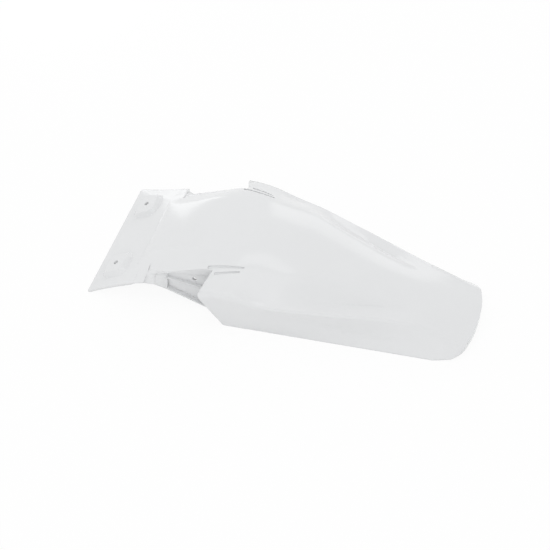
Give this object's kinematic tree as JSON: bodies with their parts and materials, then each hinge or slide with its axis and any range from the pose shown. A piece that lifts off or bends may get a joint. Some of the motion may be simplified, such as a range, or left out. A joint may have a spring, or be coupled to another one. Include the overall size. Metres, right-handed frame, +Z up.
{
  "type": "motorcycle rear fender",
  "caption": "One-piece moulded rear fender for an off-road motorcycle, with an inclined bolt-on front plate, a raised hump, flared side panels with skirts and a turned-down tail.",
  "frame": {"origin": "midway between the two front bolt holes, on the top faces of their bosses", "axes": "+X back to the tail, +Y to the motorcycle's right-hand side, +Z up"},
  "size_m": [0.6086, 0.26, 0.1149],
  "materials": {
    "white_polypropylene": "gloss"
  },
  "bodies": {
    "root": {"rear_fender": "white_polypropylene"}
  },
  "joints": []
}
